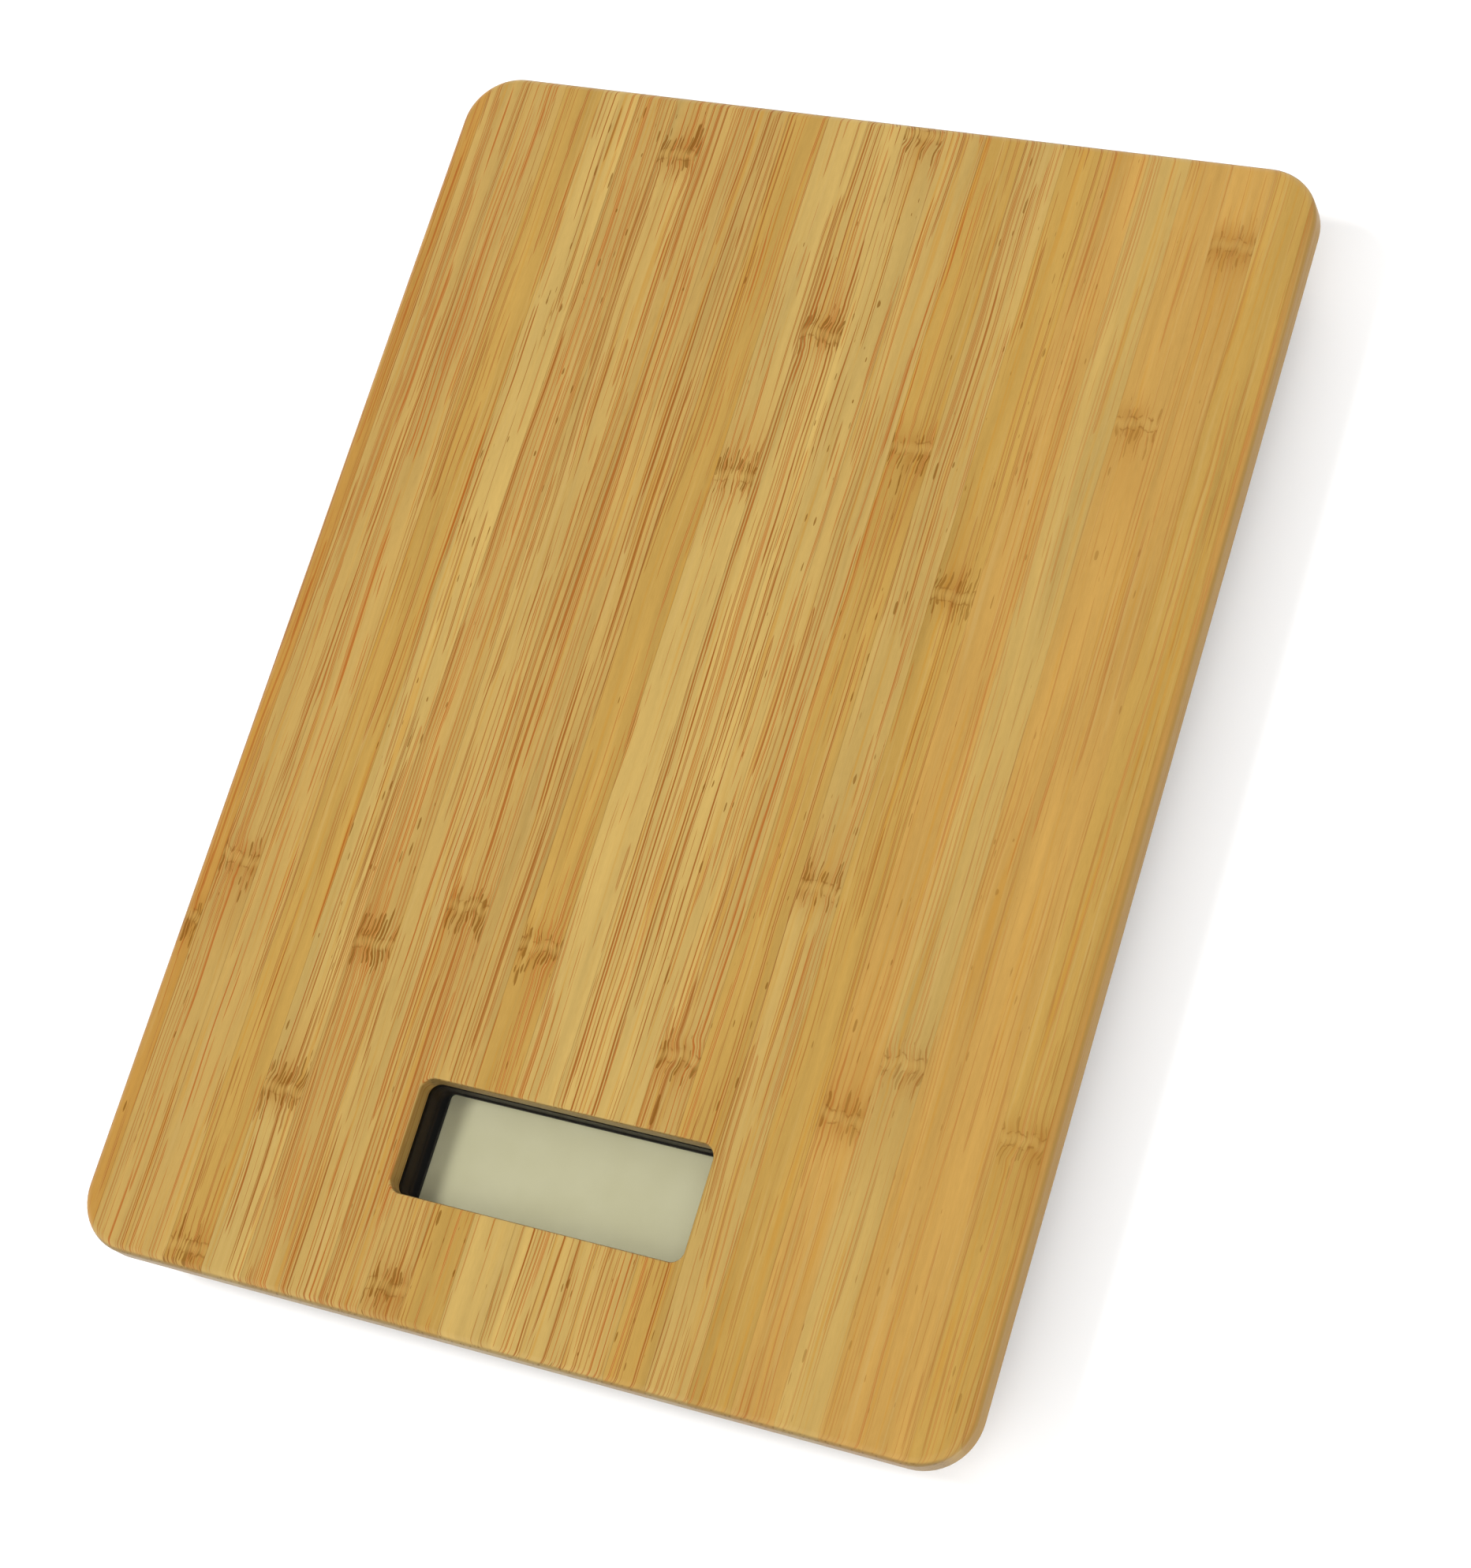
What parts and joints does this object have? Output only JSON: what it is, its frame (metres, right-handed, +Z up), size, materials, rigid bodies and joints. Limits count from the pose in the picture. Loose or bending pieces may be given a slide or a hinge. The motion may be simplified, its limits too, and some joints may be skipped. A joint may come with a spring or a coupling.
{
  "type": "kitchen scale",
  "caption": "Slim kitchen scale: laminated bamboo platform with a recessed display window near one edge, shallow black base, sprung load-cell feet, touch controls and a coin cell.",
  "frame": {"origin": "on the table, at the middle of the plane that the four foot pads rest on, under the middle of the platform", "axes": "+Z up, +X to the right as the display is read, +Y away from the display edge along the length"},
  "size_m": [0.165, 0.23, 0.018],
  "materials": {
    "bamboo": "satin lacquer over laminated strips",
    "lens": "clear polished acrylic",
    "tape": "black adhesive tape",
    "frame_plastic": "fine moulded texture",
    "display_film": "satin polarising film",
    "display_glass": "clear",
    "display_foil": "satin",
    "silicone": "soft, striped",
    "circuit_board": "solder mask",
    "resin": "cast drop",
    "ceramic": "fired",
    "resistor": "glazed",
    "tin": "drawn can",
    "spring_steel": "plated wire",
    "screw_steel": "zinc plated",
    "dome_steel": "bright",
    "button_plastic": "fine moulded texture",
    "base_plastic": "fine moulded texture",
    "holder_plastic": "moulded",
    "coin_steel": "bright nickel",
    "contact_metal": "nickel plated",
    "wire_red": "extruded",
    "wire_black": "extruded",
    "wire_white": "extruded",
    "door_plastic": "fine moulded texture",
    "cell_steel": "blanked, nickel plated",
    "gauge_film": "polyimide film with foil grid",
    "clamp_plastic": "moulded",
    "foot_plastic": "moulded",
    "foot_rubber": "soft grip"
  },
  "bodies": {
    "platform": {"platform_board": "bamboo", "window_lens": "lens", "lens_tape": "tape", "display_frame": "frame_plastic", "display_polariser": "display_film", "display_front_glass": "display_glass", "display_rear_glass": "display_glass", "display_reflector": "display_foil", "zebra_connectors": "silicone", "circuit_board": "circuit_board", "controller_chip": "resin", "capacitors": "ceramic", "resistors": "resistor", "crystal": "tin", "touch_springs": "spring_steel", "frame_screws": "screw_steel", "switch_dome": "dome_steel", "base_shell": "base_plastic", "board_screws": "screw_steel", "battery_holder": "holder_plastic", "coin_cell": "coin_steel", "positive_contact": "contact_metal", "negative_contact": "contact_metal", "battery_wire_red": "wire_red", "battery_wire_black": "wire_black", "clamp_screws": "screw_steel", "load_cell_front_left": "cell_steel", "strain_gauge_front_left": "gauge_film", "cell_clamp_front_left": "clamp_plastic", "cell_wires_front_left": "wire_white", "load_cell_front_right": "cell_steel", "strain_gauge_front_right": "gauge_film", "cell_clamp_front_right": "clamp_plastic", "cell_wires_front_right": "wire_white", "load_cell_back_left": "cell_steel", "strain_gauge_back_left": "gauge_film", "cell_clamp_back_left": "clamp_plastic", "cell_wires_back_left": "wire_white", "load_cell_back_right": "cell_steel", "strain_gauge_back_right": "gauge_film", "cell_clamp_back_right": "clamp_plastic", "cell_wires_back_right": "wire_white"},
    "foot_front_left_body": {"foot_front_left": "foot_plastic", "foot_pad_front_left": "foot_rubber"},
    "foot_front_right_body": {"foot_front_right": "foot_plastic", "foot_pad_front_right": "foot_rubber"},
    "foot_back_left_body": {"foot_back_left": "foot_plastic", "foot_pad_back_left": "foot_rubber"},
    "foot_back_right_body": {"foot_back_right": "foot_plastic", "foot_pad_back_right": "foot_rubber"},
    "battery_door_body": {"battery_door": "door_plastic"},
    "unit_button_body": {"unit_button": "button_plastic"}
  },
  "joints": [
    {"name": "press_front_left", "type": "slide", "parent": "platform", "child": "foot_front_left_body", "axis": [0, 0, 1], "range_m": [0, 0.0005], "stiffness_N_per_m": 1200, "springref_m": -0.001, "deforming": ["load_cell_front_left", "strain_gauge_front_left"]},
    {"name": "press_front_right", "type": "slide", "parent": "platform", "child": "foot_front_right_body", "axis": [0, 0, 1], "range_m": [0, 0.0005], "stiffness_N_per_m": 1200, "springref_m": -0.001, "deforming": ["load_cell_front_right", "strain_gauge_front_right"]},
    {"name": "press_back_left", "type": "slide", "parent": "platform", "child": "foot_back_left_body", "axis": [0, 0, 1], "range_m": [0, 0.0005], "stiffness_N_per_m": 1200, "springref_m": -0.001, "deforming": ["load_cell_back_left", "strain_gauge_back_left"]},
    {"name": "press_back_right", "type": "slide", "parent": "platform", "child": "foot_back_right_body", "axis": [0, 0, 1], "range_m": [0, 0.0005], "stiffness_N_per_m": 1200, "springref_m": -0.001, "deforming": ["load_cell_back_right", "strain_gauge_back_right"]},
    {"name": "battery_door_turn", "type": "hinge", "parent": "platform", "child": "battery_door_body", "pos_m": [0, -0.024, 0.00325], "axis": [0, 0, -1], "range_deg": [0, 40]},
    {"name": "unit_button_press", "type": "slide", "parent": "platform", "child": "unit_button_body", "axis": [0, 0, 1], "range_m": [0, 0.0003], "stiffness_N_per_m": 5000, "deforming": ["switch_dome"]}
  ]
}
